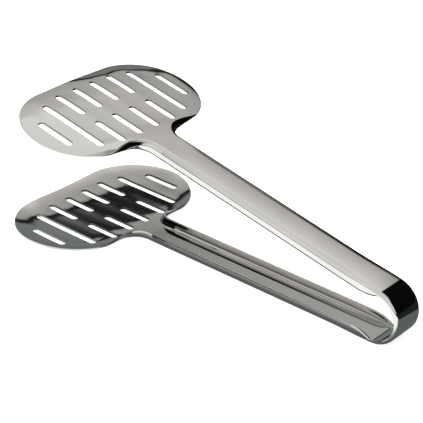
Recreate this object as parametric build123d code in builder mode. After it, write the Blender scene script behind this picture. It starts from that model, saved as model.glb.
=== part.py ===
from build123d import *
from math import asin, cos, degrees, hypot, radians, sin
import os

# Burger tongs: one strip of stainless sheet, pressed and bent back on itself.
# Lengths are in millimetres and angles in degrees.
# The tongs lie open on the lower arm: heads towards -X, spring bow at +X,
# the surface they lie on at zero height, the plan centred over the origin.

# Whole object
overall_length = 237.6
opening_angle = 11.3

# Sheet and the bevel where it turns up along both edges of the strip
sheet = 1.2
edge_bevel = 1.0

# Arms: channels with their flanges turned inwards
arm_width = 20.2
flange_height = 5.8
runout_length = 12.0

# Spring bow, with a low rim left on its edges
bow_radius = 15.25
bow_rim_height = 2.4

# Heads: a half circle at each end of the width, straight between them
head_width = 114.5
head_depth = 65.3
neck_fillet_share = 0.61
neck_length = 4.0
lobe_rise = 1.6
head_rim_height = 1.7
flange_fade_width = 64.0

# Curled tip
tip_curl_length = 8.2
tip_curl_rise = 1.4

# Slots of one head: columns side by side, the middle ones in two rows
slot_columns = 8
slot_width = 4.2
slot_web = 8.9
slot_curl_gap = 0.6
slot_heel_margin = 4.8
slot_side_margin = 11.75
long_slot_shortening = 7.1
end_slot_shortening = 27.7

# How far a cutting shape runs past what it cuts
overrun = 5.0

# Places along the lower jaw
arm_half = arm_width / 2
head_half = head_width / 2
tip_x = -overall_length / 2
bow_x = overall_length / 2 - bow_radius
lobe_radius = head_depth / 2
lobe_x = tip_x + lobe_radius
lobe_y = head_half - lobe_radius
heel_x = tip_x + head_depth
neck_fillet_radius = neck_fillet_share * (lobe_y - arm_half)
neck_x = heel_x + neck_fillet_radius + neck_length
curl_x = tip_x + tip_curl_length
curl_chord = hypot(tip_curl_length, tip_curl_rise)
curl_angle = 2 * degrees(asin(tip_curl_rise / curl_chord))
curl_radius = curl_chord**2 / (2 * tip_curl_rise)
curl_sweep = 1.5 * curl_angle
press_depth = flange_height + tip_curl_rise + lobe_rise

# Slots
slot_start_x = curl_x + slot_curl_gap
slot_end_x = heel_x - slot_heel_margin
slot_x = (slot_start_x + slot_end_x) / 2
slot_field = slot_end_x - slot_start_x
row_slot_length = (slot_field - slot_web) / 2
row_spacing = row_slot_length + slot_web
slot_span = head_width - 2 * slot_side_margin
slot_pitch = slot_span / (slot_columns - 1)
row_columns = slot_columns - 4

# The lobes rise on a large circle about an axis that runs along the head
cup_radius = (head_half**2 + lobe_rise**2) / (2 * lobe_rise)
cup_half_sweep = 2 * degrees(head_half / cup_radius)
cup_axis = Axis((0, 0, cup_radius), (1, 0, 0))
cup_start = Plane((0, 0, cup_radius), x_dir=(1, 0, 0), z_dir=(0, -1, 0))
cup_start = cup_start.rotated((-cup_half_sweep, 0, 0))

# The upper jaw mirrors the lower one in the plane that halves the opening
half_opening = radians(opening_angle / 2)
bow_centre = Vector(bow_x, 0, bow_radius)
middle_normal = Vector(sin(half_opening), 0, cos(half_opening))
middle_plane = Plane(origin=bow_centre, z_dir=middle_normal)


def channel_section(plane, height):
    """U section of the strip: floor, two bevelled edges and two flanges of this height."""
    with BuildSketch(plane) as section:
        with BuildLine():
            Polyline(
                (0, 0),
                (arm_half - edge_bevel, 0),
                (arm_half, edge_bevel),
                (arm_half, height),
                (arm_half - sheet, height),
                (arm_half - sheet, sheet),
                (0, sheet),
            )
            mirror(about=Plane.YZ)
        make_face()
    return section.sketch


def head_outline():
    """Plan of one head from the curled tip to past the neck, without its slots."""
    fillet_x = heel_x + neck_fillet_radius
    fillet_y = arm_half + neck_fillet_radius
    end_x = neck_x + overrun
    with BuildSketch() as outline:
        with BuildLine():
            Line((tip_x, 0), (tip_x, lobe_y))
            CenterArc((lobe_x, lobe_y), lobe_radius, 0, 180)
            Line((heel_x, lobe_y), (heel_x, fillet_y))
            CenterArc((fillet_x, fillet_y), neck_fillet_radius, 180, 90)
            Polyline((fillet_x, arm_half), (end_x, arm_half), (end_x, 0))
            mirror(about=Plane.XZ)
        make_face()
    return outline.sketch


def space_above(height):
    """Everything over the surface that lies this height above the head's outer face."""
    rise = height - cup_radius
    top = press_depth + overrun - cup_radius
    start_x = neck_x + 2 * overrun
    with BuildPart() as space:
        with BuildSketch(cup_start):
            with BuildLine():
                floor = Line((start_x, rise), (curl_x, rise))
                curl = JernArc(floor @ 1, floor % 1, curl_radius - height, -curl_sweep)
                Polyline(curl @ 1, ((curl @ 1).X, top), (start_x, top), floor @ 0)
            make_face()
        revolve(axis=cup_axis, revolution_arc=2 * cup_half_sweep)
    return space.part


def underside_rim(form):
    """Edges round the lower face of a press form, but for those that cross its middle."""
    underside = form.edges().filter_by_position(Axis.Z, -overrun, press_depth)
    underside = underside.filter_by(Axis.Z, reverse=True)
    across = underside.filter_by(lambda edge: abs(edge.center().Y) < arm_half / 2)
    return underside - across + across.sort_by(Axis.X)[:1]


def press_form(depth):
    """Block that fills the head down to this depth inside its outer face."""
    with BuildPart() as form:
        with BuildSketch(Plane.XY.offset(-overrun)):
            add(head_outline())
            if depth > 0:
                offset(amount=-depth, kind=Kind.INTERSECTION)
        extrude(amount=2 * overrun + press_depth)
        add(space_above(depth), mode=Mode.INTERSECT)
        if depth == 0:
            chamfer(underside_rim(form), edge_bevel)
    return form.part


def flange_envelope():
    """Space that the neck flanges keep: full height at the arm, fading along the heel."""
    fade_half = flange_fade_width / 2
    with BuildPart() as envelope:
        with BuildSketch(Plane.YZ.offset(lobe_x)):
            with BuildLine():
                Line((0, flange_height), (arm_half, flange_height))
                start = (fade_half, head_rim_height)
                TangentArc(start, (arm_half, flange_height), tangent=(-1, 0))
                Polyline(start, (fade_half, -overrun), (0, -overrun))
                mirror(about=Plane.YZ)
            make_face()
        extrude(amount=neck_x + 2 * overrun - lobe_x)
    return envelope.part


def slot_row(length, x, spacing, count):
    """Slots that run along the head, side by side about its middle."""
    with BuildSketch(Plane.XY.offset(-overrun)) as row:
        with Locations((x, 0)):
            with GridLocations(0, spacing, 1, count):
                SlotOverall(length, slot_width)
    return row.sketch


with BuildPart() as trimming:
    add(space_above(head_rim_height))
    add(flange_envelope(), mode=Mode.SUBTRACT)

with BuildPart() as lower_head:
    add(press_form(0))
    add(press_form(sheet), mode=Mode.SUBTRACT)
    add(trimming.part, mode=Mode.SUBTRACT)
    split(bisect_by=Plane.YZ.offset(neck_x), keep=Keep.BOTTOM)
    slot_rows = [
        slot_row(row_slot_length, slot_x - row_spacing / 2, slot_pitch, row_columns),
        slot_row(row_slot_length, slot_x + row_spacing / 2, slot_pitch, row_columns),
        slot_row(slot_field - long_slot_shortening, slot_x, slot_span - 2 * slot_pitch, 2),
        slot_row(slot_field - end_slot_shortening, slot_x, slot_span, 2),
    ]
    for row in slot_rows:
        extrude(row, amount=2 * overrun + press_depth, mode=Mode.SUBTRACT)

with BuildPart() as lower_arm:
    extrude(channel_section(Plane.YZ.offset(neck_x), flange_height), amount=bow_x - neck_x)
    with BuildSketch(Plane.XZ):
        with BuildLine():
            start = (bow_x - runout_length, flange_height)
            drop = TangentArc(start, (bow_x, bow_rim_height), tangent=(1, 0))
            Polyline(
                drop @ 1,
                (bow_x + overrun, bow_rim_height),
                (bow_x + overrun, flange_height + overrun),
                (bow_x - runout_length, flange_height + overrun),
                start,
            )
        make_face()
    extrude(amount=arm_width, both=True, mode=Mode.SUBTRACT)

with BuildPart() as spring_bow:
    section = channel_section(Plane.YZ.offset(bow_x), bow_rim_height)
    revolve(section, axis=Axis(bow_centre, (0, -1, 0)), revolution_arc=180 - opening_angle)

with BuildPart() as upper_arm:
    mirror(lower_arm.part, about=middle_plane)

with BuildPart() as upper_head:
    mirror(lower_head.part, about=middle_plane)

lower_head.part.label = "lower_head"
lower_arm.part.label = "lower_arm"
spring_bow.part.label = "spring_bow"
upper_arm.part.label = "upper_arm"
upper_head.part.label = "upper_head"

os.makedirs("parts", exist_ok=True)
export_step(lower_head.part, "parts/lower_head.step")
export_step(lower_arm.part, "parts/lower_arm.step")
export_step(spring_bow.part, "parts/spring_bow.step")
export_step(upper_arm.part, "parts/upper_arm.step")
export_step(upper_head.part, "parts/upper_head.step")
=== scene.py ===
from math import cos, hypot, pi, radians, sin, sqrt

import bpy
import numpy as np
from mathutils import Matrix, Vector
from mathutils.geometry import delaunay_2d_cdt


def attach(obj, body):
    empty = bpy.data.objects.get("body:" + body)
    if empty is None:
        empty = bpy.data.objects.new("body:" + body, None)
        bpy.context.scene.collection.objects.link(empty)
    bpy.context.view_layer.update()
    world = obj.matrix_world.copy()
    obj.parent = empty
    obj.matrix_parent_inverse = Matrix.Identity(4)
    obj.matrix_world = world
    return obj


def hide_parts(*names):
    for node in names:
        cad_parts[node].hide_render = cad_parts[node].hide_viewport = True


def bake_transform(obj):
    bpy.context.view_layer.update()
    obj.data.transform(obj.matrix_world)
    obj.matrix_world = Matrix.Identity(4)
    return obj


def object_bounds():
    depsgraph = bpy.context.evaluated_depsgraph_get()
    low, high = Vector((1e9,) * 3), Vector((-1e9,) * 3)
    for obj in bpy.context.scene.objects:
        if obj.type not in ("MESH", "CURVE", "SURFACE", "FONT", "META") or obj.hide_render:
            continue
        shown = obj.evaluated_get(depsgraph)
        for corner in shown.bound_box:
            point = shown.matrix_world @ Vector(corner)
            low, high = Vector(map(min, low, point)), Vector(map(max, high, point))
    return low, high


# Burger tongs in polished stainless sheet: two slotted heads, two channel arms and a spring bow.
# Shapes are worked out in millimetres on the lower jaw, which lies flat; the upper jaw mirrors it.
# A span holds the place where a change begins and the place where it is complete.

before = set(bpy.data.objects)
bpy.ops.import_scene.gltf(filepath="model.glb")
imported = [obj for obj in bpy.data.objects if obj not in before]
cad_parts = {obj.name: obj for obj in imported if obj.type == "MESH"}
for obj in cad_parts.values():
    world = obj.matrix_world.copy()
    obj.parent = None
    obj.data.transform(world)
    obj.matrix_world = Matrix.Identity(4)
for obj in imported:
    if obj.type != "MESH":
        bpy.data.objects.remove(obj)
cad_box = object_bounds()

MM = 0.001

# Whole object
OVERALL_LENGTH = 237.6
OPENING = radians(11.3)

# The strip: its sheet, the bends along its edges and the straight walls beyond them
SHEET = 1.2
BEND_RADIUS = 3.4
EDGE_ROUND = 0.3
ARM_HALF = 10.1
FLANGE_WALL = 2.4
RIM_WALL = 0.4
RIM_BEND = 2.0
RIM_BEND_LENGTH = 26.0
RUNOUT_LENGTH = 12.0

# The spring bow
BOW_RADIUS = 15.25

# The heads: a half circle at each end of the width, dished, with an upturned edge
HEAD_WIDTH = 114.5
HEAD_DEPTH = 65.3
NECK_LENGTH = 4.0
NECK_FILLET_SHARE = 0.61
TIP_BLEND = 6.0
CURL_WIDTH = 9.0
CORNER_CURL_WIDTH = 10.5
CORNER_REACH = 14.0
CURL_RADIUS = 36.0
HEEL_CURL_SPAN = (14.0, 34.0)
LEAD_START = 22.0
LEAD_END = 15.0
LEAD_SLOPE = 0.044
CUP_RISE = 1.1
LOBE_START = 31.0
LOBE_END = 36.0
LOBE_SLOPE = 0.018
WEB_ARCH = 0.018
WEB_ARCH_SPAN = (4.0, 9.0)
WEB_ARCH_END = 6.0

# Flanges round the neck, by the distance that the outline has gone from the arm
FLANGE_DROP_SPAN = (3.0, 21.0)
FLANGE_FADE_SPAN = (13.0, 37.0)

# The slots: their columns are counted in pitches from the middle
SLOT_HALF_WIDTH = 2.1
SLOT_PITCH = 13.0
SLOT_X = -84.15
SLOT_SPACING = 30.3
ROW_COLUMNS = (-1.5, -0.5, 0.5, 1.5)
ROW_SLOT = 21.4
LONG_COLUMN = 2.5
LONG_SLOT = 44.6
END_COLUMN = 3.5
END_SLOT = 24.0
SLOT_ROUND = 0.14

# Leans of the normals: they steer what the steel mirrors and leave the surface where it is.
# LEAN has the slope of a head's floor and SWEEP the swing of the flanges, by places along X.
CURL_IN = radians(13.0)
CURL_IN_SHARES = (0.9, 0.5)
EDGE_ROLL = radians(27.0)
EDGE_ROLL_DEPTH = 1.1
EDGE_ROLL_SHARES = (0.92, 0.72)
CROWN = radians(2.2)
CROWN_LENGTH = 20.0
FAR_ROLL = radians(12.0)
FAR_ROLL_SHARE = 0.75
LEAN = ((-101.0, -97.0, -66.0, -61.0, -52.0, -44.0), (0.0, 0.018, 0.018, -0.012, -0.008, 0.0))
LEAN_SKEW = 0.1
WEB_SKEW = 1.3
WEB_SKEW_SHIFT = 1.0
WEB_SKEW_SPAN = (-90.0, -76.0)
SWEEP = ((-60.0, -47.0, -38.0, -27.0), (0.0, 0.3, 0.26, 0.0))

# Where the shading shows the head's curl flatter than it is, and by how much
INNER_RELIEF = 0.5
INNER_RELIEF_X_SPAN = (-86.0, -76.0)
INNER_RELIEF_NEAR_SPAN = (20.0, 32.0)
OUTER_RELIEF = 0.7
NEAR_RELIEF_SPAN = (-24.0, 12.0)
NEAR_RELIEF_X_SPAN = (-111.0, -106.0)
FAR_RELIEF_SPAN = (38.0, 54.0)
FAR_RELIEF_SHIFT = 14.0
FAR_RELIEF_SHIFT_X_SPAN = (-96.0, -86.0)

# How finely the meshes are laid out
SLOPE_STEP = 0.02
BEND_STEPS = 7
ROUND_STEPS = 3
WALL_STEPS = 5
RIM_SPACING = 1.0
NECK_POINTS = 7
BACK_POINTS = 7
FLOOR_SPACING = 1.6
FLOOR_HALF = 56
FLOOR_GAP = 0.9
SLOT_END_POINTS = 9
SLOT_SIDE_SPACING = 2.5
ARM_STATIONS = 30
RUNOUT_STATIONS = 15
BOW_STATIONS = 73
INSIDE_LOOPS = 1
MERGE_GAP = 1e-5

# Finishes of a plate's faces; the slot walls' dark colour is painted shade and the cut edges'
# lighter colour a painted highlight
FACE, CUT_EDGE_WITH_HIGHLIGHT, SHADED_SLOT_WALL = 0, 1, 2

# Places that follow from these
TIP_X = -OVERALL_LENGTH / 2
BOW_X = OVERALL_LENGTH / 2 - BOW_RADIUS
HEEL_X = TIP_X + HEAD_DEPTH
HEAD_HALF = HEAD_WIDTH / 2
LOBE_RADIUS = (HEEL_X - TIP_X) / 2
LOBE_X = TIP_X + LOBE_RADIUS
LOBE_Y = HEAD_HALF - LOBE_RADIUS
NECK_FILLET = NECK_FILLET_SHARE * (LOBE_Y - ARM_HALF)
NECK_X = HEEL_X + NECK_FILLET + NECK_LENGTH
BOW_CENTRE = np.array([BOW_X, 0.0, BOW_RADIUS])
MIDDLE_NORMAL = np.array([sin(OPENING / 2), 0.0, cos(OPENING / 2)])

# Points across a turned-up edge, and the ones that begin a face of its cut edge
EDGE_POINTS = 2 * (BEND_STEPS + 1) + len(EDGE_ROLL_SHARES) + 2 * (ROUND_STEPS + 1) + WALL_STEPS - 1
END_FACE = range(BEND_STEPS + 3, BEND_STEPS + 2 + 2 * (ROUND_STEPS + 1))


# The pressed surface of a head


def smooth(value, start, end):
    """0 before start, 1 after end, and an even S between them."""
    t = np.clip((value - start) / (end - start), 0.0, 1.0)
    return t * t * (3 - 2 * t)


def eased_ramp(value, start, end, slope):
    """Height of a slope that starts softly at start and is steady from end on."""
    gone = np.clip((value - start) / (end - start), 0.0, 1.0)
    beyond = np.maximum((value - end) / (end - start), 0.0)
    return slope * (end - start) * (gone * gone / 2 + beyond)


def press_height(x, y, curl_share=1.0):
    """Height of the head's outer face over the flat of the arm."""
    side = np.abs(y)
    beyond = np.maximum(side - LOBE_Y, 0.0)
    depth = LOBE_RADIUS - np.hypot(x - LOBE_X, beyond)
    tipward = 1 - smooth(x, LOBE_X - TIP_BLEND, LOBE_X + TIP_BLEND)
    corner = tipward * smooth(side, 0.0, LOBE_Y) * (1 - smooth(beyond, CORNER_REACH, LOBE_RADIUS))
    width = CURL_WIDTH + (CORNER_CURL_WIDTH - CURL_WIDTH) * corner
    curl = np.maximum(width - depth, 0.0) ** 2 / (2 * CURL_RADIUS)
    curl = curl_share * curl * (1 - (1 - tipward) * (1 - smooth(side, *HEEL_CURL_SPAN)))
    lead = eased_ramp(-depth, -LEAD_START, -LEAD_END, LEAD_SLOPE)
    lead = lead * tipward * (1 - smooth(side, LOBE_Y, HEAD_HALF))
    cup = CUP_RISE * (side / HEAD_HALF) ** 2 + eased_ramp(side, LOBE_START, LOBE_END, LOBE_SLOPE)
    slotted = smooth(depth, *WEB_ARCH_SPAN) * (1 - smooth(x, HEEL_X - WEB_ARCH_END, HEEL_X))
    arch = WEB_ARCH * (1 + np.cos(2 * pi * y / SLOT_PITCH)) * slotted
    return curl + lead + (cup + arch) * (1 - smooth(x, HEEL_X, NECK_X))


def shading_curl(x, y, inner):
    """Share of the curl that the shading shows, which looks flatter than it is in places.

    On the inner face that is the tip half, and on the outer face both ends of the tip.
    """
    tip_half = (1 - smooth(x, *INNER_RELIEF_X_SPAN)) * (1 - smooth(-y, *INNER_RELIEF_NEAR_SPAN))
    near_end = smooth(-y, *NEAR_RELIEF_SPAN) * (1 - smooth(x, *NEAR_RELIEF_X_SPAN))
    shift = FAR_RELIEF_SHIFT * smooth(x, *FAR_RELIEF_SHIFT_X_SPAN)
    far_end = smooth(y, FAR_RELIEF_SPAN[0] - shift, FAR_RELIEF_SPAN[1] - shift)
    outer_ends = np.maximum(near_end, far_end)
    return 1 - np.where(inner, INNER_RELIEF * tip_half, OUTER_RELIEF * outer_ends)


def press_normal(x, y, inner):
    """Direction out of the head's inner face, one row for each point."""
    step = SLOPE_STEP
    share = shading_curl(x, y, inner)
    slope_x = (press_height(x + step, y, share) - press_height(x - step, y, share)) / (2 * step)
    slope_y = (press_height(x, y + step, share) - press_height(x, y - step, share)) / (2 * step)
    # The floor leans a little between the tip and the heel, and on the webs between
    # two slots the lean begins aslant
    in_web = y - SLOT_PITCH * np.round(y / SLOT_PITCH) + WEB_SKEW_SHIFT
    in_web = np.where(np.abs(y) < LONG_COLUMN * SLOT_PITCH, in_web, 0.0)
    aslant = WEB_SKEW * in_web * (1 - smooth(x, *WEB_SKEW_SPAN))
    slope_x = slope_x + np.interp(x - LEAN_SKEW * y - aslant, *LEAN)
    normal = np.stack([-slope_x, -slope_y, np.ones_like(slope_x)], axis=-1)
    return normal / np.linalg.norm(normal, axis=-1, keepdims=True)


def on_press(plan, height):
    """Points that lie this height above the outer face, over places in the plan."""
    x, y = plan[:, 0], plan[:, 1]
    normal = press_normal(x, y, np.reshape(height, -1) > SHEET / 2)
    base = np.stack([x, y, press_height(x, y)], axis=-1)
    return base + normal * np.reshape(height, (-1, 1)), normal


# The outline of a head


def line_samples(start, end, inward, spacing):
    """Places along a straight stretch, with the direction into the metal at each."""
    count = max(2, round(hypot(end[0] - start[0], end[1] - start[1]) / spacing) + 1)
    share = np.linspace(0, 1, count)[:, None]
    points = np.array(start) * (1 - share) + np.array(end) * share
    return points, np.tile(inward, (count, 1))


def arc_samples(centre, radius, start, end, side, spacing):
    """Places along an arc, with the direction into the metal at each.

    side is -1 where the metal lies inside the arc and 1 where it lies outside.
    """
    count = max(3, round(radius * abs(end - start) / spacing) + 1)
    angle = np.linspace(start, end, count)
    ray = np.stack([np.cos(angle), np.sin(angle)], axis=-1)
    return np.array(centre) + radius * ray, side * ray


def head_outline(spacing):
    """Places and inward directions from the near side of the neck round to its far side."""
    fillet = (HEEL_X + NECK_FILLET, ARM_HALF + NECK_FILLET)
    parts = [
        line_samples((TIP_X, 0), (TIP_X, LOBE_Y), (1, 0), spacing),
        arc_samples((LOBE_X, LOBE_Y), LOBE_RADIUS, pi, 0, -1, spacing),
        line_samples((HEEL_X, LOBE_Y), (HEEL_X, fillet[1]), (-1, 0), spacing),
        arc_samples(fillet, NECK_FILLET, pi, 1.5 * pi, 1, spacing),
        line_samples((fillet[0], ARM_HALF), (NECK_X, ARM_HALF), (0, -1), spacing),
    ]
    places = np.concatenate([parts[0][0]] + [part[0][1:] for part in parts[1:]])
    inward = np.concatenate([parts[0][1]] + [part[1][1:] for part in parts[1:]])
    near_places = places[:0:-1] * (1, -1)
    near_inward = inward[:0:-1] * (1, -1)
    return np.concatenate([near_places, places]), np.concatenate([near_inward, inward])


# The edge of the strip: bend, flange and rounded cut edge


def edge_profile(turn, wall, bend=BEND_RADIUS):
    """Inward distance, height and direction at each point across the turned-up edge.

    turn is the angle that the edge is bent through and wall the straight length beyond it.
    Towards the cut edge its inner face curls in and its outer face rolls over a little.
    """
    inner_radius = bend - SHEET
    centre = bend * sin(turn) + wall * cos(turn)
    curl_in = CURL_IN * (turn / (pi / 2)) ** 2
    roll = EDGE_ROLL * (turn / (pi / 2)) ** 2
    along = np.array([-cos(turn), sin(turn)])
    across = np.array([sin(turn), cos(turn)])
    points, directions = [], []
    for step in range(BEND_STEPS + 1):
        angle = turn * step / BEND_STEPS
        points.append((centre - bend * sin(angle), bend * (1 - cos(angle))))
        directions.append((-sin(angle), -cos(angle)))
    outer_end = np.array(points[-1]) + along * wall
    inner_end = outer_end + across * SHEET
    for share, lean in zip(EDGE_ROLL_SHARES, (0.0, roll)):
        points.append(tuple(outer_end - along * share * min(wall, EDGE_ROLL_DEPTH)))
        directions.append(tuple(along * sin(lean) - across * cos(lean)))
    for corner, sign in ((outer_end, 1), (inner_end, -1)):
        middle = corner + EDGE_ROUND * (sign * across - along)
        for step in range(ROUND_STEPS + 1):
            turned = step / ROUND_STEPS
            angle = roll + (pi / 2 - roll) * turned if sign > 0 else (pi / 2 + curl_in) * turned
            first, second = (-sign * across, along) if sign > 0 else (along, across)
            direction = first * cos(angle) + second * sin(angle)
            points.append(tuple(middle + EDGE_ROUND * direction))
            directions.append(tuple(direction))
    curl_start, curl_full = CURL_IN_SHARES
    for step in range(1, WALL_STEPS):
        down = EDGE_ROUND + (wall - EDGE_ROUND) * step / WALL_STEPS
        points.append(tuple(inner_end - along * down))
        lean = curl_in * float(smooth(step, WALL_STEPS * curl_start, WALL_STEPS * curl_full))
        directions.append(tuple(across * cos(lean) - along * sin(lean)))
    for step in range(BEND_STEPS, -1, -1):
        angle = turn * step / BEND_STEPS
        height = bend - inner_radius * cos(angle)
        points.append((centre - inner_radius * sin(angle), height))
        directions.append((sin(angle), cos(angle)))
    return np.array(points), np.array(directions)


# Meshes


class Plate:
    """Vertices with their own normals, and faces with a finish each."""

    def __init__(self):
        self.points, self.normals, self.faces, self.finishes = [], [], [], []

    def add(self, points, normals):
        """Take in vertices and give back their numbers."""
        first = len(self.points)
        self.points.extend(points)
        self.normals.extend(normals)
        return np.arange(first, first + len(points))

    def face(self, corners, finish=FACE):
        """Take in one face."""
        self.faces.append(tuple(int(c) for c in corners))
        self.finishes.append(finish)

    def grid(self, rows, closed=False, finish_of=None):
        """Quads between rows of vertices; closed joins the last row to the first."""
        pairs = list(zip(rows, rows[1:])) + ([(rows[-1], rows[0])] if closed else [])
        for one, two in pairs:
            for k in range(len(one) - 1):
                finish = finish_of(k) if finish_of else FACE
                self.face((one[k], one[k + 1], two[k + 1], two[k]), finish)

    def mirrored(self):
        """The same plate on the upper jaw."""
        other = Plate()
        points = np.array(self.points)
        reach = (points - BOW_CENTRE) @ MIDDLE_NORMAL
        other.points = list(points - 2 * reach[:, None] * MIDDLE_NORMAL)
        normals = np.array(self.normals)
        reach = normals @ MIDDLE_NORMAL
        other.normals = list(normals - 2 * reach[:, None] * MIDDLE_NORMAL)
        other.faces = [face[::-1] for face in self.faces]
        other.finishes = list(self.finishes)
        return other

    def build(self, name, materials):
        """Make the object, with one material for each finish."""
        mesh = bpy.data.meshes.new(name)
        points = [tuple(p) for p in np.array(self.points) * MM]
        mesh.from_pydata(points, [], self.faces)
        for material in materials:
            mesh.materials.append(material)
        mesh.polygons.foreach_set("material_index", self.finishes)
        mesh.polygons.foreach_set("use_smooth", [True] * len(self.faces))
        mesh.normals_split_custom_set_from_vertices([tuple(n) for n in self.normals])
        mesh.validate()
        piece = bpy.data.objects.new(name, mesh)
        bpy.context.scene.collection.objects.link(piece)
        return piece


# A head


def slot_places():
    """Middle and length of each slot of one head."""
    places = []
    for column in ROW_COLUMNS:
        places.append((SLOT_X - SLOT_SPACING / 2, column * SLOT_PITCH, ROW_SLOT))
        places.append((SLOT_X + SLOT_SPACING / 2, column * SLOT_PITCH, ROW_SLOT))
    for side in (-1, 1):
        places.append((SLOT_X, side * LONG_COLUMN * SLOT_PITCH, LONG_SLOT))
        places.append((SLOT_X, side * END_COLUMN * SLOT_PITCH, END_SLOT))
    return places


def slot_distance(points, slot):
    """Distance of plan points from a slot's edge, negative inside it."""
    x, y, length = slot
    half = length / 2 - SLOT_HALF_WIDTH
    gap_x = np.maximum(np.abs(points[:, 0] - x) - half, 0)
    return np.hypot(gap_x, points[:, 1] - y) - SLOT_HALF_WIDTH


def slot_loop(slot):
    """Places round a slot's edge and the directions from the metal into the slot."""
    x, y, length = slot
    half = length / 2 - SLOT_HALF_WIDTH
    count = max(2, round(2 * half / SLOT_SIDE_SPACING))
    share = np.linspace(0, 1, count + 1)[1:-1, None]
    parts = []
    for end, turn in ((half, 0.0), (-half, pi)):
        angle = np.linspace(turn - pi / 2, turn + pi / 2, SLOT_END_POINTS)
        ray = np.stack([np.cos(angle), np.sin(angle)], axis=-1)
        parts.append((np.array([x + end, y]) + SLOT_HALF_WIDTH * ray, -ray))
        start = np.array([x + end, y + SLOT_HALF_WIDTH * cos(turn)])
        finish = np.array([x - end, y + SLOT_HALF_WIDTH * cos(turn)])
        side = np.tile([0.0, -cos(turn)], (len(share), 1))
        parts.append((start * (1 - share) + finish * share, side))
    return np.concatenate([p[0] for p in parts]), np.concatenate([p[1] for p in parts])


def inside(loop, points):
    """Which plan points lie inside a closed loop."""
    found = np.zeros(len(points), bool)
    for (x1, y1), (x2, y2) in zip(loop, np.roll(loop, -1, axis=0)):
        if y1 == y2:
            continue
        crosses = (y1 > points[:, 1]) != (y2 > points[:, 1])
        found ^= crosses & (points[:, 0] < (x2 - x1) * (points[:, 1] - y1) / (y2 - y1) + x1)
    return found


def floor_points(loop, slots):
    """Plan points spread over the floor of a head, clear of its edges and slots."""
    along = np.arange(TIP_X, NECK_X, FLOOR_SPACING)
    across = np.arange(-FLOOR_HALF, FLOOR_HALF + 1, FLOOR_SPACING)
    points = np.array([(x, y) for x in along for y in across])
    points = points[inside(loop, points)]
    gap = np.min(np.linalg.norm(points[:, None] - loop[None], axis=-1), axis=1)
    keep = gap > FLOOR_GAP
    for slot in slots:
        keep &= slot_distance(points, slot) > FLOOR_GAP
    return points[keep]


def floor_triangles(loop, holes, slots):
    """Plan points and triangles of the floor between its edge and its slots."""
    plan = np.concatenate([loop] + holes + [floor_points(loop, slots)])
    edges, first = [], 0
    for ring in [loop] + holes:
        count = len(ring)
        edges += [(first + k, first + (k + 1) % count) for k in range(count)]
        first += count
    found = delaunay_2d_cdt([Vector(p) for p in plan], edges, [], INSIDE_LOOPS, MERGE_GAP)
    plan = np.array([tuple(p) for p in found[0]])
    triangles = np.array([f for f in found[2] if len(f) == 3])
    middles = plan[triangles].mean(axis=1)
    keep = np.ones(len(triangles), bool)
    for slot in slots:
        keep &= slot_distance(middles, slot) > SLOT_ROUND / 2
    triangles = triangles[keep]
    corner = plan[triangles]
    side_a, side_b = corner[:, 1] - corner[:, 0], corner[:, 2] - corner[:, 0]
    turned = side_a[:, 0] * side_b[:, 1] - side_a[:, 1] * side_b[:, 0] < 0
    triangles[turned] = triangles[turned][:, ::-1]
    return plan, triangles


def edge_turn_and_wall(travel):
    """How far the edge is turned up at this distance round the outline from the arm."""
    fade = 1 - float(smooth(travel, *FLANGE_FADE_SPAN))
    drop = 1 - float(smooth(travel, *FLANGE_DROP_SPAN))
    return pi / 2 * fade, RIM_WALL + (FLANGE_WALL - RIM_WALL) * drop


def add_rim(plate):
    """The turned-up edge round a head; gives back the floor's edge in the plan."""
    places, inward = head_outline(RIM_SPACING)
    steps = np.linalg.norm(np.diff(places, axis=0), axis=1)
    travel = np.concatenate([[0], np.cumsum(steps)])
    travel = np.minimum(travel, travel[-1] - travel)
    rows = []
    for place, direction, gone in zip(places, inward, travel):
        profile, faced = edge_profile(*edge_turn_and_wall(gone))
        plan = place + direction * profile[:, :1]
        points, normal = on_press(plan, profile[:, 1])
        sideways = np.append(direction, 0.0)
        if gone < FLANGE_FADE_SPAN[1]:
            sideways[0] -= np.interp(place[0], *SWEEP)
        sideways = sideways - normal * (normal @ sideways)[:, None]
        sideways /= np.linalg.norm(sideways, axis=1)[:, None]
        rows.append(plate.add(points, faced[:, :1] * sideways + faced[:, 1:] * normal))
    plate.grid(rows, finish_of=lambda k: CUT_EDGE_WITH_HIGHLIGHT if k in END_FACE else FACE)
    return np.array([plate.points[row[0]][:2] for row in rows])


def add_floor(plate, edge, slots, rings):
    """The floor, laid out once in the plan and set on the outer and the inner face."""
    neck = np.linspace(edge[-1], edge[0], NECK_POINTS + 2)[1:-1]
    loop = np.concatenate([edge, neck])
    holes = [places - into * SLOT_ROUND for places, into in rings]
    plan, triangles = floor_triangles(loop, holes, slots)
    for height, order in ((0.0, -1), (SHEET, 1)):
        points, normal = on_press(plan, np.full(len(plan), height))
        index = plate.add(points, normal * order)
        for triangle in triangles:
            plate.face(index[triangle][::order])


def add_slot_walls(plate, rings):
    """The walls of the slots, with slightly rounded edges; their dark grey is painted shade."""
    angles = np.linspace(0, pi / 2, ROUND_STEPS + 1)
    back = np.concatenate([1 - np.sin(angles), 1 - np.cos(angles)]) * SLOT_ROUND
    low = (1 - np.cos(angles)) * SLOT_ROUND
    high = SHEET - (1 - np.sin(angles)) * SLOT_ROUND
    heights = np.concatenate([low, high])
    outward = np.concatenate([np.sin(angles), np.cos(angles)])
    upward = np.concatenate([-np.cos(angles), np.sin(angles)])
    for places, into in rings:
        columns = []
        for place, direction in zip(places, into):
            points, normal = on_press(place - direction * back[:, None], heights)
            flat = np.append(direction, 0.0)
            faced = flat * outward[:, None] + normal * upward[:, None]
            faced /= np.linalg.norm(faced, axis=1)[:, None]
            columns.append(plate.add(points, faced))
        plate.grid(columns, closed=True, finish_of=lambda k: SHADED_SLOT_WALL)


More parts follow.
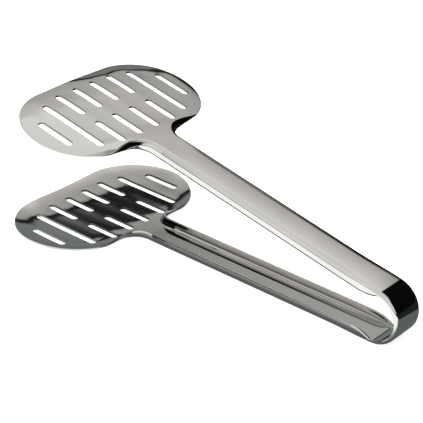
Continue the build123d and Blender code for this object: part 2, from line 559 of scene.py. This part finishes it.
def head_plate():
    """The pressed and slotted head of the lower jaw."""
    plate = Plate()
    slots = slot_places()
    rings = [slot_loop(slot) for slot in slots]
    edge = add_rim(plate)
    add_floor(plate, edge, slots, rings)
    add_slot_walls(plate, rings)
    return plate


# An arm and the bow


def strip_section(wall, bend, crown):
    """Across, height and direction at each point round the U section of the strip."""
    profile, faced = edge_profile(pi / 2, wall, bend)
    near = np.stack([profile[:, 0] - ARM_HALF, profile[:, 1]], axis=-1)
    share = np.linspace(0, 1, BACK_POINTS + 2)[1:-1, None]
    inner = near[-1] * (1 - share) + near[-1] * (-1, 1) * share
    outer = near[0] * (-1, 1) * (1 - share) + near[0] * share
    points = np.concatenate([near, inner, near[::-1] * (-1, 1), outer])
    up = np.tile([0.0, 1.0], (len(inner), 1))
    turned = faced[::-1] * (-1, 1)
    directions = np.concatenate([faced, up, turned, -up])
    # The back of the strip is a little crowned, and it rolls over more at its far edge
    back = (directions[:, 1] < 0) & (points[:, 1] < bend)
    tilt = np.arctan2(np.abs(directions[:, 0]), -directions[:, 1])
    share = np.clip(points[:, 0] / (ARM_HALF - bend), -1, 1)
    far_roll = FAR_ROLL * crown / CROWN * smooth(share, FAR_ROLL_SHARE, 1.0)
    edge = crown * np.abs(share) + far_roll
    tilt = edge + tilt * (1 - edge / (pi / 2))
    crowned = np.stack([np.sin(tilt) * np.sign(share), -np.cos(tilt)], axis=-1)
    directions = np.where(back[:, None], crowned, directions)
    return points, directions


def section_finish(k):
    """Finish of a face by its number round the section: the cut edges have their own, rougher and
    with a lighter colour that is a painted highlight.
    """
    mirrored = 2 * EDGE_POINTS + BACK_POINTS - 2 - k
    return CUT_EDGE_WITH_HIGHLIGHT if k in END_FACE or mirrored in END_FACE else FACE


def add_sections(plate, rows):
    """Faces between U sections that follow each other along the strip."""
    rows = [np.append(row, row[0])[::-1] for row in rows]
    last = len(rows[0]) - 2
    plate.grid(rows, finish_of=lambda k: section_finish(last - k))


def arm_plate():
    """The lower arm: a channel with flanges that run out on an arc towards the bow."""
    plate = Plate()
    rows = []
    runout_x = BOW_X - RUNOUT_LENGTH
    tall = BEND_RADIUS + FLANGE_WALL
    drop = tall - RIM_BEND - RIM_WALL
    radius = (RUNOUT_LENGTH**2 + drop**2) / (2 * drop)
    even = np.linspace(NECK_X, runout_x, ARM_STATIONS)
    runout = np.linspace(runout_x, BOW_X, RUNOUT_STATIONS)[1:]
    for x in np.concatenate([even, runout]):
        beyond = max(0.0, x - runout_x)
        height = tall - (radius - sqrt(radius**2 - beyond**2))
        slope = beyond / sqrt(radius**2 - beyond**2)
        tightened = float(smooth(x, BOW_X - RIM_BEND_LENGTH, BOW_X))
        bend = BEND_RADIUS + (RIM_BEND - BEND_RADIUS) * tightened
        crown = CROWN * float(smooth(x, NECK_X, NECK_X + CROWN_LENGTH))
        section, faced = strip_section(height - bend, bend, crown)
        points = np.column_stack([np.full(len(section), x), section])
        lean = slope * np.maximum(faced[:, 1], 0.0)
        on_wall = section[:, 1] > bend
        swing = -np.abs(faced[:, 0]) * np.interp(x, *SWEEP) * on_wall
        normals = np.column_stack([lean * on_wall + swing, faced])
        normals /= np.linalg.norm(normals, axis=1)[:, None]
        rows.append(plate.add(points, normals))
    add_sections(plate, rows)
    return plate


def bow_plate():
    """The spring bow: the strip with a low rim, bent round from one arm to the other."""
    plate = Plate()
    rows = []
    section, faced = strip_section(RIM_WALL, RIM_BEND, CROWN)
    for angle in np.linspace(0, pi - OPENING, BOW_STATIONS):
        outward = np.array([sin(angle), 0.0, -cos(angle)])
        radius = BOW_RADIUS - section[:, 1]
        points = BOW_CENTRE + outward * radius[:, None]
        points[:, 1] = section[:, 0]
        normals = -outward * faced[:, 1:]
        normals[:, 1] = faced[:, 0]
        rows.append(plate.add(points, normals))
    add_sections(plate, rows)
    return plate


# Nodes that the steel and the studio share


def feed(tree, socket, value):
    """Give a socket a plain value or the output of another node."""
    if isinstance(value, bpy.types.NodeSocket):
        tree.links.new(value, socket)
    else:
        socket.default_value = value


def maths(tree, operation, one, two):
    """Result of an operation on two values."""
    node = tree.nodes.new("ShaderNodeMath")
    node.operation = operation
    feed(tree, node.inputs[0], one)
    feed(tree, node.inputs[1], two)
    return node.outputs[0]


def mapped(tree, value, from_min, from_max, to_min=0.0, to_max=1.0, easing="LINEAR"):
    """A value brought from one range to another."""
    node = tree.nodes.new("ShaderNodeMapRange")
    node.interpolation_type = easing
    node.inputs["From Min"].default_value = from_min
    node.inputs["From Max"].default_value = from_max
    node.inputs["To Min"].default_value = to_min
    node.inputs["To Max"].default_value = to_max
    tree.links.new(value, node.inputs["Value"])
    return node.outputs["Result"]


def mixed(tree, under, top, mask, blend="MIX"):
    """One colour over another where the mask is full."""
    node = tree.nodes.new("ShaderNodeMix")
    node.data_type = "RGBA"
    node.blend_type = blend
    feed(tree, node.inputs["Factor"], mask)
    feed(tree, node.inputs["A"], under)
    feed(tree, node.inputs["B"], top)
    return node.outputs["Result"]


def tones(tree, value, reach, stops):
    """Colours along a value that goes from -reach to reach."""
    node = tree.nodes.new("ShaderNodeValToRGB")
    tree.links.new(mapped(tree, value, -reach, reach), node.inputs["Fac"])
    elements = node.color_ramp.elements
    while len(elements) < len(stops):
        elements.new(0.5)
    for element, (place, colour) in zip(elements, stops):
        element.position = (place / reach + 1) / 2
        element.color = (*colour, 1)
    return node.outputs["Color"]


def by_ray(tree, kind, shader, others):
    """One shader for this kind of ray and another for all others."""
    rays = tree.nodes.new("ShaderNodeLightPath")
    node = tree.nodes.new("ShaderNodeMixShader")
    tree.links.new(rays.outputs[kind], node.inputs["Fac"])
    tree.links.new(others, node.inputs[1])
    tree.links.new(shader, node.inputs[2])
    return node.outputs["Shader"]


# Finishes

NOISE_RANGE = (0.3, 0.7)
GRAIN_STRETCH = (60, 4200, 4200)
GRAIN_ROUGHNESS = (-0.02, 0.03)
GRAIN_BUMP = 0.00002
BLOTCH_SCALE = 55.0
BLOTCH_TINT = (0.93, 0.94, 0.93, 1)


def new_group(name, inputs, outputs):
    """A node group with these sockets, and its two ends."""
    group = bpy.data.node_groups.new(name, "ShaderNodeTree")
    for label, kind, value in inputs:
        socket = group.interface.new_socket(label, in_out="INPUT", socket_type=kind)
        socket.default_value = value
    for label, kind in outputs:
        group.interface.new_socket(label, in_out="OUTPUT", socket_type=kind)
    return group, group.nodes.new("NodeGroupInput"), group.nodes.new("NodeGroupOutput")


def noise(tree, place, scale, detail):
    """Noise over a place."""
    node = tree.nodes.new("ShaderNodeTexNoise")
    node.inputs["Scale"].default_value = scale
    node.inputs["Detail"].default_value = detail
    tree.links.new(place, node.inputs["Vector"])
    return node.outputs["Fac"]


def steel_surface_group():
    """Rolled and polished stainless sheet: fine grain lines and soft blotches."""
    number = "NodeSocketFloat"
    group, given, result = new_group(
        "polished_sheet",
        [
            ("Steel", "NodeSocketColor", (0.62, 0.61, 0.6, 1)),
            ("Polish", number, 0.12),
            ("Grain Depth", number, 0.02),
            ("Blotch", number, 0.012),
        ],
        [("Color", "NodeSocketColor"), ("Roughness", number), ("Normal", "NodeSocketVector")],
    )
    place = group.nodes.new("ShaderNodeTexCoord").outputs["Object"]
    stretch = group.nodes.new("ShaderNodeMapping")
    stretch.inputs["Scale"].default_value = GRAIN_STRETCH
    group.links.new(place, stretch.inputs["Vector"])
    grain = noise(group, stretch.outputs["Vector"], scale=1.0, detail=3.0)
    blotch = noise(group, place, scale=BLOTCH_SCALE, detail=4.0)

    swing = mapped(group, blotch, *NOISE_RANGE, -1, 1)
    uneven = maths(group, "MULTIPLY", swing, given.outputs["Blotch"])
    fine = mapped(group, grain, *NOISE_RANGE, *GRAIN_ROUGHNESS)
    rough = maths(group, "ADD", maths(group, "ADD", given.outputs["Polish"], uneven), fine)
    group.links.new(rough, result.inputs["Roughness"])

    stained = mapped(group, blotch, *NOISE_RANGE)
    colour = mixed(group, given.outputs["Steel"], BLOTCH_TINT, stained, "MULTIPLY")
    group.links.new(colour, result.inputs["Color"])

    bump = group.nodes.new("ShaderNodeBump")
    bump.inputs["Distance"].default_value = GRAIN_BUMP
    group.links.new(given.outputs["Grain Depth"], bump.inputs["Strength"])
    group.links.new(grain, bump.inputs["Height"])
    group.links.new(bump.outputs["Normal"], result.inputs["Normal"])
    return group


def steel(name, surface, colour, polish):
    """A stainless finish: the shared surface with a colour and a roughness of its own."""
    material = bpy.data.materials.new(name)
    material.use_nodes = True
    nodes, links = material.node_tree.nodes, material.node_tree.links
    shader = nodes["Principled BSDF"]
    shader.inputs["Metallic"].default_value = 1.0
    sheet = nodes.new("ShaderNodeGroup")
    sheet.node_tree = surface
    sheet.inputs["Steel"].default_value = colour
    sheet.inputs["Polish"].default_value = polish
    links.new(sheet.outputs["Color"], shader.inputs["Base Color"])
    links.new(sheet.outputs["Roughness"], shader.inputs["Roughness"])
    links.new(sheet.outputs["Normal"], shader.inputs["Normal"])
    return material


# The studio

BLACK = (0.01, 0.01, 0.01, 1)
WHITE = (1, 1, 1, 1)

# Tints of the light, by elevation in degrees
WARM = (1.0, 0.985, 0.965)
ROSY = (1.0, 0.95, 0.93)
ROSY_RANGE = (38, 40.5)
COOL = (0.93, 1.0, 0.97)
COOL_RANGE = (5, 28)

# What stands round the tongs: elevations in degrees with a grey level each
PANEL = (
    (-90, 0.2), (5, 0.2), (24.8, 0.28), (25.8, 0.09), (26.5, 0.045), (27, 0.012), (28.7, 0.01),
    (28.95, 0.36), (29.6, 0.43), (31, 0.52), (36, 0.6), (38, 0.7), (41, 0.82), (43, 0.92),
    (45, 1.05), (90, 1.0),
)
ROOM = ((-90, 0.2), (-20, 0.17), (-3, 0.15), (0, 0.004), (52, 0.004), (62, 0.7), (90, 0.9))
TENT = (
    (-90, 1.5), (2, 1.4), (5, 0.02), (14, 0.02), (17, 0.45), (31, 0.45), (38, 0.8), (60, 1.0),
    (90, 0.9),
)
FRONT = (
    (-90, 1.5), (2, 1.5), (5, 0.1), (8, 0.1), (11, 1.0), (40, 1.1), (60, 1.0), (90, 0.9),
)

# Where they stand: a direction, and the shares of it at which each begins and is full
ROOM_SIDE = ((1, 0.29, 0), -0.02, 0.02)
WALL_END_SIDE = ((0.9205, 0.3907, 0), -0.03, 0.03)
WALL_END_HEIGHT_SPAN = (0.4, 0.31)
NEAR_SIDE = ((-0.25, -1, 0), -0.15, 0.15)
FRONT_SIDE = ((0.875, -0.485, 0), -0.05, 0.07)
FLAG_SIDE = ((-0.985, -0.174, 0), 0.77, 0.80)

# The floor, in metres, and the greys that the steel mirrors across it: it glows as a painted
# reflection, with painted shadow grey round the tongs, painted bright light in front and dark far
# behind
FLOOR_REACH = 3.0
FLOOR_DROP = 0.0002
FLOOR_TONE_REACH = 0.1
FLOOR_PAINTED_SHADE_AND_LIGHT_TONES = (
    (-0.032, 1.5), (-0.022, 0.4), (-0.0165, 0.36), (-0.0145, 0.16), (0.045, 0.18), (0.055, 0.02),
)
FLOOR_RED_SHARE = 0.92

# The photograph's view: place in metres, two axes, focal length and width in pixels
CAMERA_PLACE = (0.4494, -0.5555, 0.4147)
CAMERA_RIGHT = (0.7610, 0.6480, 0.0310)
CAMERA_FORWARD = (-0.5599, 0.6802, -0.4732)
FOCAL_PIXELS = 1547.03
PHOTO_PIXELS = 423
SENSOR_WIDTH = 36.0


def tinted(elevation, level):
    """Colour of the studio at an elevation: cool low down, rosy half way up, else warm."""
    tint = WARM
    if ROSY_RANGE[0] <= elevation <= ROSY_RANGE[1]:
        tint = ROSY
    if COOL_RANGE[0] <= elevation <= COOL_RANGE[1]:
        tint = COOL
    return tuple(level * share for share in tint)


def studio_world():
    """White backdrop for the eye; a panel, a dark room, a tent and a flag for the steel."""
    world = bpy.data.worlds.new("studio")
    bpy.context.scene.world = world
    world.use_nodes = True
    tree = world.node_tree
    tree.nodes.clear()
    look = tree.nodes.new("ShaderNodeTexCoord").outputs["Generated"]

    def toward(direction):
        """Share of the look that goes in a direction."""
        node = tree.nodes.new("ShaderNodeVectorMath")
        node.operation = "DOT_PRODUCT"
        tree.links.new(look, node.inputs[0])
        node.inputs[1].default_value = Vector(direction).normalized()
        return node.outputs["Value"]

    upward = toward((0, 0, 1))

    def standing(levels):
        """Greys that change with the elevation."""
        stops = [(sin(radians(height)), tinted(height, level)) for height, level in levels]
        return tones(tree, upward, 1.0, stops)

    def side(direction, start, end):
        """Mask of one side of the studio."""
        return mapped(tree, toward(direction), start, end, easing="SMOOTHSTEP")

    # Far side: a tall panel over a thin dark gap and a grey wall, then the dark room on the
    # right; the wall ends before the room begins
    below = mapped(tree, upward, *WALL_END_HEIGHT_SPAN, easing="SMOOTHSTEP")
    past_wall = maths(tree, "MULTIPLY", side(*WALL_END_SIDE), below)
    panel = mixed(tree, standing(PANEL), BLACK, past_wall)
    far = mixed(tree, panel, standing(ROOM), side(*ROOM_SIDE))
    # Near side: a bright tent over a dimmer band
    tent = mixed(tree, standing(TENT), standing(FRONT), side(*FRONT_SIDE))
    whole = mixed(tree, far, tent, side(*NEAR_SIDE))
    # A black flag low on the left
    whole = mixed(tree, whole, BLACK, side(*FLAG_SIDE))

    glow = tree.nodes.new("ShaderNodeBackground")
    tree.links.new(whole, glow.inputs["Color"])
    backdrop = tree.nodes.new("ShaderNodeBackground")
    backdrop.inputs["Color"].default_value = WHITE
    seen = by_ray(tree, "Is Camera Ray", backdrop.outputs["Background"], glow.outputs["Background"])
    output = tree.nodes.new("ShaderNodeOutputWorld")
    tree.links.new(seen, output.inputs["Surface"])


def floor_paper_with_painted_reflection():
    """Pale for the eye; to the steel it glows as a painted reflection: grey painted shadow behind
    and beside and bright painted light in front.
    """
    material = bpy.data.materials.new("floor_paper_with_painted_reflection")
    material.use_nodes = True
    tree = material.node_tree
    shader = tree.nodes["Principled BSDF"]
    shader.inputs["Base Color"].default_value = (0.9, 0.9, 0.9, 1)
    shader.inputs["Roughness"].default_value = 0.9
    shader.inputs["Emission Color"].default_value = WHITE
    shader.inputs["Emission Strength"].default_value = 0.75
    place = tree.nodes.new("ShaderNodeSeparateXYZ")
    tree.links.new(tree.nodes.new("ShaderNodeTexCoord").outputs["Object"], place.inputs["Vector"])
    stops = []
    for y, level in FLOOR_PAINTED_SHADE_AND_LIGHT_TONES:
        red = level if level > 1 else FLOOR_RED_SHARE * level
        stops.append((y, (red, level, level)))
    # For glossy rays the floor glows: painted shadow round the tongs and painted light in front.
    mirrored = tree.nodes.new("ShaderNodeEmission")
    colour = tones(tree, place.outputs["Y"], FLOOR_TONE_REACH, stops)
    tree.links.new(colour, mirrored.inputs["Color"])
    seen = by_ray(tree, "Is Glossy Ray", mirrored.outputs["Emission"], shader.outputs["BSDF"])
    tree.links.new(seen, tree.nodes["Material Output"].inputs["Surface"])
    return material


def studio_floor():
    """A wide plain floor just under the tongs."""
    mesh = bpy.data.meshes.new("studio_floor")
    reach = FLOOR_REACH
    corners = [(-reach, -reach, 0), (reach, -reach, 0), (reach, reach, 0), (-reach, reach, 0)]
    mesh.from_pydata(corners, [], [(0, 1, 2, 3)])
    mesh.materials.append(floor_paper_with_painted_reflection())
    floor = bpy.data.objects.new("studio_floor", mesh)
    bpy.context.scene.collection.objects.link(floor)
    floor.location.z = cad_box[0][2] - FLOOR_DROP


def soft_light(name, place, size, power):
    """A soft panel that lights the tongs and isn't mirrored in them."""
    data = bpy.data.lights.new(name, "AREA")
    data.shape = "RECTANGLE"
    data.size, data.size_y = size
    data.energy = power
    light = bpy.data.objects.new(name, data)
    light.location = place
    light.rotation_euler = (-Vector(place)).to_track_quat("-Z", "Y").to_euler()
    light.visible_glossy = False
    bpy.context.scene.collection.objects.link(light)


def photo_camera():
    """The camera at the photograph's place and angle."""
    right = Vector(CAMERA_RIGHT).normalized()
    forward = Vector(CAMERA_FORWARD).normalized()
    up = right.cross(forward).normalized()
    right = forward.cross(up)
    data = bpy.data.cameras.new("photo_camera")
    data.sensor_width = SENSOR_WIDTH
    data.lens = FOCAL_PIXELS * SENSOR_WIDTH / PHOTO_PIXELS
    camera = bpy.data.objects.new("photo_camera", data)
    axes = Matrix((right, up, -forward)).transposed().to_4x4()
    camera.matrix_world = Matrix.Translation(CAMERA_PLACE) @ axes
    bpy.context.scene.collection.objects.link(camera)
    bpy.context.scene.camera = camera


# The tongs


def set_piece(plate, name, node, body, finishes):
    """Build a piece in place of its solid, on a body if it moves with just one."""
    piece = plate.build(name, finishes)
    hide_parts(node)
    if body:
        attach(piece, body)
    return piece


def make_tongs():
    """The five pieces of the strip, the upper jaw's mirrored from the lower jaw's."""
    surface = steel_surface_group()
    head_steel = steel("head_steel", surface, colour=(0.62, 0.615, 0.6, 1), polish=0.045)
    arm_steel = steel("arm_steel", surface, colour=(0.62, 0.61, 0.6, 1), polish=0.045)
    bow_steel = steel("bow_steel", surface, colour=(0.62, 0.62, 0.61, 1), polish=0.05)
    # The cut edges are rougher satin, their own finish, and lighter in colour: a painted highlight.
    cut_edge = steel("cut_edge_satin_and_painted_highlight", surface, colour=(0.72, 0.715, 0.7, 1), polish=0.26)
    # The slot walls are painted dark grey: painted shade inside the slots.
    slot_wall = steel("slot_wall_painted_shade", surface, colour=(0.2, 0.2, 0.2, 1), polish=0.3)
    head, arm, bow = head_plate(), arm_plate(), bow_plate()
    heads, arms = [head_steel, cut_edge, slot_wall], [arm_steel, cut_edge]
    set_piece(head, "lower_head_pressing", "lower_head", "lower_jaw", heads)
    set_piece(arm, "lower_arm_channel", "lower_arm", "lower_jaw", arms)
    set_piece(arm.mirrored(), "upper_arm_channel", "upper_arm", "upper_jaw", arms)
    set_piece(head.mirrored(), "upper_head_pressing", "upper_head", "upper_jaw", heads)
    spring = set_piece(bow, "spring_bow_strip", "spring_bow", None, [bow_steel, cut_edge])
    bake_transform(spring)


make_tongs()
studio_world()
studio_floor()
soft_light("key_panel", place=(-0.5, 0.2, 1.2), size=(0.9, 0.9), power=9)
soft_light("near_panel", place=(0.3, -0.9, 0.9), size=(0.8, 0.6), power=6)
photo_camera()
bpy.context.scene.view_settings.view_transform = "Standard"
